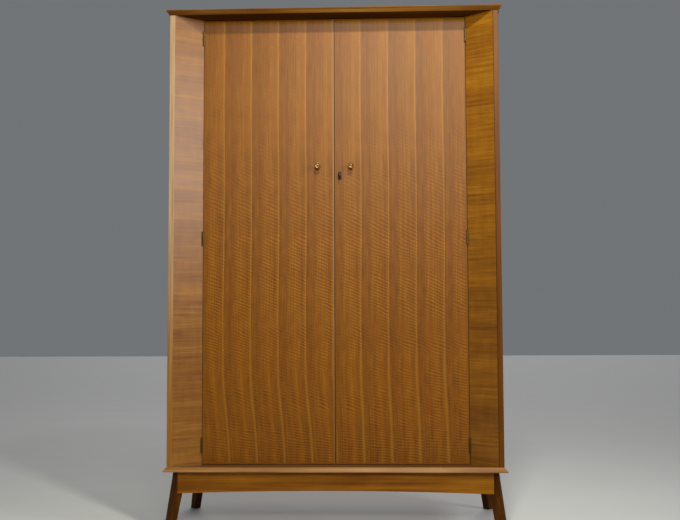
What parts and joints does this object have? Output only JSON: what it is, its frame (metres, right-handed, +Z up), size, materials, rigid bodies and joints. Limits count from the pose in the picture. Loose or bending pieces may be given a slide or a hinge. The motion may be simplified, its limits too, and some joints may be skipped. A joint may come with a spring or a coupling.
{
  "type": "wardrobe",
  "caption": "Free-standing wardrobe with recessed hinged doors between angled side panels, small round knobs, a lock with its key, an arched apron and splayed square legs.",
  "frame": {"origin": "on the floor, under the middle of the whole outline (the centre of the bounding box's bottom face)", "axes": "+Z up along the wardrobe's height, +Y from the doors to the back, +X to the right as seen from the front"},
  "size_m": [1.184, 0.557, 1.829],
  "materials": {
    "solid_board": "satin oiled solid hardwood, straight grain along the board",
    "solid_lipping": "satin solid hardwood edge strip",
    "side_veneer": "satin straight-grained veneer",
    "panel_veneer": "satin veneer with its grain across the panel",
    "door_veneer": "satin rippled veneer in slip-matched leaves",
    "interior_wood": "plain plywood and softwood, thin matt lacquer",
    "apron_wood": "satin solid hardwood, grain along the rail",
    "leg_wood": "satin darker solid hardwood",
    "block_wood": "unfinished sawn block",
    "brass": "aged satin brass",
    "knob_brass": "aged polished brass",
    "screw_brass": "brass screw heads",
    "screw_steel": "bright zinc-plated screws",
    "rail_metal": "plated tube",
    "lock_steel": "dull steel",
    "key_metal": "dark worn steel"
  },
  "bodies": {
    "carcass": {"top_board": "solid_board", "bottom_board": "solid_board", "left_side_panel": "side_veneer", "right_side_panel": "side_veneer", "left_front_lipping": "solid_lipping", "right_front_lipping": "solid_lipping", "left_angled_panel": "panel_veneer", "right_angled_panel": "panel_veneer", "left_hinge_stile": "interior_wood", "right_hinge_stile": "interior_wood", "back_panel": "interior_wood", "hat_shelf": "interior_wood", "shelf_cleats": "interior_wood", "door_stops": "interior_wood", "hanging_rail": "rail_metal", "rail_sockets": "rail_metal", "hinge_pins": "brass", "slide_bolt_keeps": "brass", "hinge_frame_screws": "screw_brass", "base_screws": "screw_steel", "left_lower_hinge_frame_leaf": "brass", "left_middle_hinge_frame_leaf": "brass", "left_upper_hinge_frame_leaf": "brass", "right_lower_hinge_frame_leaf": "brass", "right_middle_hinge_frame_leaf": "brass", "right_upper_hinge_frame_leaf": "brass", "front_left_leg": "leg_wood", "front_right_leg": "leg_wood", "rear_left_leg": "leg_wood", "rear_right_leg": "leg_wood", "front_apron": "apron_wood", "back_apron": "apron_wood", "left_apron": "apron_wood", "right_apron": "apron_wood", "corner_blocks": "block_wood"},
    "left_door": {"left_lower_hinge_door_leaf": "brass", "left_middle_hinge_door_leaf": "brass", "left_upper_hinge_door_leaf": "brass", "left_door_panel": "door_veneer", "left_door_lipping": "solid_lipping", "left_knob": "knob_brass", "left_knob_screw": "screw_brass", "left_hinge_door_screws": "screw_brass", "strike_plate": "brass", "upper_slide_bolt_guide": "brass", "lower_slide_bolt_guide": "brass"},
    "right_door": {"right_lower_hinge_door_leaf": "brass", "right_middle_hinge_door_leaf": "brass", "right_upper_hinge_door_leaf": "brass", "right_door_panel": "door_veneer", "right_door_lipping": "solid_lipping", "right_knob": "knob_brass", "right_knob_screw": "screw_brass", "right_hinge_door_screws": "screw_brass", "escutcheon": "brass", "lock_case": "lock_steel"},
    "lock_bolt": {"lock_bolt": "lock_steel"},
    "key": {"key": "key_metal"},
    "upper_slide_bolt": {"upper_slide_bolt": "brass"},
    "lower_slide_bolt": {"lower_slide_bolt": "brass"}
  },
  "joints": [
    {"name": "left_door_hinge", "type": "hinge", "parent": "carcass", "child": "left_door", "pos_m": [-0.469, -0.2015, 0], "axis": [0, 0, -1], "range_deg": [0, 130]},
    {"name": "right_door_hinge", "type": "hinge", "parent": "carcass", "child": "right_door", "pos_m": [0.469, -0.2015, 0], "axis": [0, 0, 1], "range_deg": [0, 130]},
    {"name": "key_turn", "type": "hinge", "parent": "right_door", "child": "key", "pos_m": [0.019, -0.1975, 1.243], "axis": [0, 1, 0], "range_deg": [0, 180]},
    {"name": "lock_bolt_slide", "type": "slide", "parent": "right_door", "child": "lock_bolt", "axis": [-1, 0, 0], "range_m": [0, 0.009]},
    {"name": "upper_slide_bolt_slide", "type": "slide", "parent": "left_door", "child": "upper_slide_bolt", "axis": [0, 0, 1], "range_m": [0, 0.012]},
    {"name": "lower_slide_bolt_slide", "type": "slide", "parent": "left_door", "child": "lower_slide_bolt", "axis": [0, 0, -1], "range_m": [0, 0.012]}
  ],
  "couplings": [
    {"joint": "lock_bolt_slide", "follows": "key_turn", "m_per_rad": 0.0028648}
  ]
}
